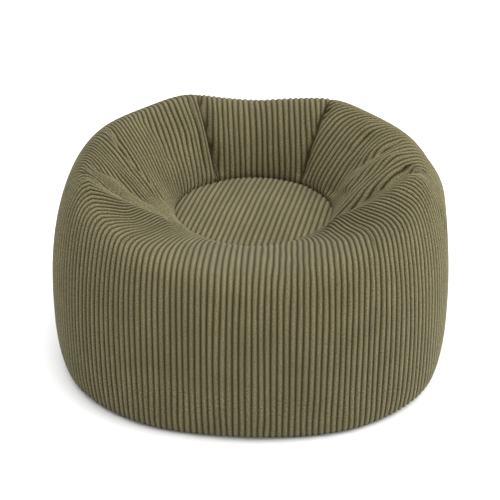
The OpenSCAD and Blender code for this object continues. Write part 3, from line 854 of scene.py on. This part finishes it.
# ------------------------ materials
def material(name):
    """A new material with a lone surface shader."""
    mat = bpy.data.materials.new(name)
    mat.use_nodes = True
    tree = mat.node_tree
    tree.nodes.clear()
    out = tree.nodes.new("ShaderNodeOutputMaterial")
    bsdf = tree.nodes.new("ShaderNodeBsdfPrincipled")
    tree.links.new(bsdf.outputs[0], out.inputs[0])
    return mat, tree, bsdf


def node(tree, kind, inputs=(), **settings):
    """A shader node; each input is a socket to link or a constant to set."""
    item = tree.nodes.new(kind)
    for key, value in settings.items():
        setattr(item, key, value)
    for key, value in dict(inputs).items():
        if isinstance(value, bpy.types.NodeSocket):
            tree.links.new(value, item.inputs[key])
        else:
            item.inputs[key].default_value = value
    return item


def calc(tree, operation, *values):
    return node(tree, "ShaderNodeMath", dict(enumerate(values)), operation=operation).outputs[0]


def noise(tree, place, scale, detail, roughness=0.5):
    """Soft random clouds, this many to the metre."""
    return node(tree, "ShaderNodeTexNoise", {"Vector": place, "Scale": scale, "Detail": detail,
                                             "Roughness": roughness}).outputs["Fac"]


def scaled(tree, place, by):
    return node(tree, "ShaderNodeVectorMath", {0: place, 1: by}, operation="MULTIPLY").outputs[0]


def remap(tree, value, low, high, to_low, to_high):
    """Maps the range low to high onto another, and clamps it there."""
    return node(tree, "ShaderNodeMapRange", {"Value": value, 1: low, 2: high, 3: to_low,
                                             4: to_high}).outputs[0]


def blend(tree, share, low, high):
    return node(tree, "ShaderNodeMix", {0: share, 6: (*low, 1), 7: (*high, 1)}, data_type="RGBA").outputs[2]


def surface(tree, bsdf, colour, height, strength, distance, constants):
    """Colours a surface, raises its grain and sets its constants."""
    tree.links.new(colour, bsdf.inputs["Base Color"])
    bump = node(tree, "ShaderNodeBump", {"Height": height, "Strength": strength, "Distance": distance})
    tree.links.new(bump.outputs[0], bsdf.inputs["Normal"])
    for key, value in constants.items():
        bsdf.inputs[key].default_value = value


# Colour of the cords' tops, and a darker colour painted into the grooves as shade
CORD_TOP = (0.124, 0.110, 0.057)
CORD_GROOVE_SHADE = (0.029, 0.020, 0.0055)


def corduroy():
    """Pile with painted shade in its grooves, with tufts, fine fuzz, streaks along the cords and slow clouds.
    """
    mat, tree, bsdf = material("corduroy")
    rib = node(tree, "ShaderNodeAttribute", attribute_name="cord").outputs["Fac"]
    place = node(tree, "ShaderNodeAttribute", attribute_name="cloth").outputs["Vector"]
    fuzz = noise(tree, scaled(tree, place, (1.0, 0.7, 1.0)), 620.0, 2.0, 0.6)
    grain = noise(tree, place, 300.0, 1.0)
    streak = noise(tree, scaled(tree, place, (1.0, 0.03, 1.0)), 75.0, 1.0)
    cloud = noise(tree, place, 14.0, 3.0)
    # Painted shade: the grooves between the cords get the darker colour, the cord tops the lighter one
    tint = blend(tree, remap(tree, rib, 0.1, 0.9, 0.0, 1.0), CORD_GROOVE_SHADE, CORD_TOP)
    spot = remap(tree, fuzz, 0.34, 0.66, 0.52, 1.50)
    wash = remap(tree, cloud, 0.3, 0.7, 0.92, 1.08)
    worn = remap(tree, streak, 0.3, 0.7, 0.92, 1.08)
    tuft = remap(tree, grain, 0.32, 0.68, 0.72, 1.28)
    even = calc(tree, "MULTIPLY", wash, calc(tree, "MULTIPLY", worn, tuft))
    gain = calc(tree, "MULTIPLY", spot, even)
    colour = node(tree, "ShaderNodeVectorMath", {0: tint, "Scale": gain}, operation="SCALE").outputs[0]
    surface(tree, bsdf, colour, fuzz, 0.9, 0.0012,
            {"Roughness": 0.95, "Specular IOR Level": 0.12, "Sheen Weight": 0.14, "Sheen Roughness": 0.45,
             "Sheen Tint": (0.80, 0.84, 0.68, 1)})
    return mat


def woven(name, low, high, thread):
    """Plain weave of the given thread width, from crossed waves."""
    mat, tree, bsdf = material(name)
    place = node(tree, "ShaderNodeTexCoord").outputs["Object"]
    wave = {"Vector": place, "Scale": 0.314 / thread, "Distortion": 0.6, "Detail": 1.0}
    over, under = (node(tree, "ShaderNodeTexWave", wave, bands_direction=axis).outputs["Fac"] for axis in "XY")
    slub = noise(tree, place, 180.0, 3.0)
    both = calc(tree, "MULTIPLY_ADD", slub, 0.6, calc(tree, "MULTIPLY", over, under))
    tint = blend(tree, remap(tree, both, 0.25, 1.1, 0.0, 1.0), low, high)
    surface(tree, bsdf, tint, both, 0.5, thread * 0.4, {"Roughness": 0.92, "Specular IOR Level": 0.2})
    return mat


def moulded(name, low, high, rough, metallic=0.0):
    """Nylon or enamelled metal: slightly cloudy colour, fine orange peel and uneven gloss."""
    mat, tree, bsdf = material(name)
    place = node(tree, "ShaderNodeTexCoord").outputs["Object"]
    cloud = noise(tree, place, 260.0, 4.0)
    fine = noise(tree, place, 2080.0, 2.0)
    surface(tree, bsdf, blend(tree, cloud, low, high), fine, 0.25, 0.0001, {"Metallic": metallic})
    tree.links.new(remap(tree, cloud, 0.3, 0.7, rough - 0.08, rough + 0.08), bsdf.inputs["Roughness"])
    return mat


def bead_material():
    """Expanded polystyrene: packed round beads with shaded gaps."""
    mat, tree, bsdf = material("beads")
    place = node(tree, "ShaderNodeTexCoord").outputs["Object"]
    cell = node(tree, "ShaderNodeTexVoronoi", {"Vector": place, "Scale": 260.0}).outputs["Distance"]
    round_bead = remap(tree, cell, 0.1, 0.75, 1.0, 0.0)
    tint = blend(tree, round_bead, (0.55, 0.55, 0.53), (0.90, 0.90, 0.89))
    surface(tree, bsdf, tint, round_bead, 0.8, 0.0015, {"Roughness": 0.7})
    return mat


def dress(pieces, mat):
    """Gives the chair's own pieces their material and hangs them on the chair's body."""
    for piece in pieces:
        piece.data.materials.append(mat)
        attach(piece, "chair")


def dress_nodes(names, mat):
    """Gives CAD nodes that stay as they are a better material, in their objects' slots."""
    for name in names:
        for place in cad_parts[name].material_slots:
            place.material = mat


canvas = woven("base_canvas", (0.020, 0.020, 0.015), (0.062, 0.062, 0.046), 0.0009)
thread_mat = woven("thread", (0.05, 0.048, 0.028), (0.12, 0.115, 0.065), 0.0003)
tape_mat = woven("zip_tape", (0.085, 0.08, 0.038), (0.16, 0.155, 0.082), 0.0006)
teeth_mat = moulded("zip_nylon", (0.055, 0.054, 0.030), (0.095, 0.093, 0.055), 0.38)
metal_mat = moulded("zip_metal", (0.20, 0.195, 0.155), (0.32, 0.31, 0.26), 0.42, 0.5)
liner_mat = woven("liner_cloth", (0.60, 0.60, 0.56), (0.76, 0.76, 0.72), 0.0005)
liner_nylon = moulded("liner_nylon", (0.70, 0.70, 0.68), (0.82, 0.82, 0.80), 0.4)

dress(wall + [seat], corduroy())
dress([base_piece], canvas)
dress([base_thread], thread_mat)
dress(tapes + tape_threads, tape_mat)
dress(coils, teeth_mat)
dress(liner, liner_mat)
dress([liner_floor] + liner_tapes, liner_mat)
dress(liner_coils, liner_nylon)
dress([beads], bead_material())
dress_nodes(("zip_stop_left", "zip_stop_right", "zip_slider"), metal_mat)
dress_nodes(("liner_zip_stop_left", "liner_zip_stop_right", "liner_zip_slider"), liner_nylon)


# ------------------------ stage, light and camera
def area_light(name, place, target, size, power):
    """A square white lamp at a place, turned to its target."""
    light = bpy.data.lights.new(name, "AREA")
    light.size, light.energy = size, power
    obj = bpy.data.objects.new(name, light)
    obj.location = place
    direction = np.array(target) - np.array(place)
    obj.rotation_euler = Vector(direction).to_track_quat("-Z", "Y").to_euler()
    bpy.context.scene.collection.objects.link(obj)


ROOM_DIM = 0.17  # light from every side of the room
# Bright sides of the room: direction and strength
ROOM_SIDES = (((0.98, 0, 0.2), 1.5), ((0.71, 0, 0.71), 2.4), ((-0.1, 0, 0.99), 3.5), ((0, -0.8, 0.6), 0.35))


def soft_room():
    """A room with white walls, brighter on some sides."""
    world = bpy.data.worlds.new("studio")
    bpy.context.scene.world = world
    world.use_nodes = True
    tree = world.node_tree
    way = node(tree, "ShaderNodeTexCoord").outputs["Generated"]
    glow = ROOM_DIM
    for side, strength in ROOM_SIDES:
        facing = node(tree, "ShaderNodeVectorMath", {0: way, 1: side}, operation="DOT_PRODUCT")
        ahead = calc(tree, "MAXIMUM", facing.outputs["Value"], 0.0)
        glow = calc(tree, "MULTIPLY_ADD", calc(tree, "POWER", ahead, 4.0), strength, glow)
    sky = tree.nodes["Background"]
    sky.inputs[0].default_value = (1, 1, 1, 1)
    tree.links.new(glow, sky.inputs[1])


def stage():
    bpy.ops.mesh.primitive_plane_add(size=40, location=(0, 0, -0.0005))
    floor = bpy.context.object
    floor.name = "floor"
    mat, _, bsdf = material("floor")
    bsdf.inputs["Base Color"].default_value = (0.87, 0.87, 0.87, 1)
    bsdf.inputs["Roughness"].default_value = 0.9
    floor.data.materials.append(mat)
    soft_room()
    area_light("key", (2.6, -0.2, 1.7), (0, 0, 0.2), 1.0, 14)
    bpy.context.scene.view_settings.view_transform = "Standard"


AZIMUTH, ELEVATION = math.radians(4.2), math.radians(28.2)
DISTANCE, LENS = 2.7, 88.3  # metres from the target, millimetres
TARGET = (-0.0065, 0, 0.206)


def camera():
    """The camera, in front of the chair and above it."""
    back = np.array([math.sin(AZIMUTH) * math.cos(ELEVATION), -math.cos(AZIMUTH) * math.cos(ELEVATION),
                     math.sin(ELEVATION)])
    cam = bpy.data.cameras.new("camera")
    cam.sensor_width, cam.lens = 36, LENS
    obj = bpy.data.objects.new("camera", cam)
    obj.location = np.array(TARGET) + back * DISTANCE
    obj.rotation_euler = Vector(-back).to_track_quat("-Z", "Y").to_euler()
    bpy.context.scene.collection.objects.link(obj)
    bpy.context.scene.camera = obj


stage()
camera()
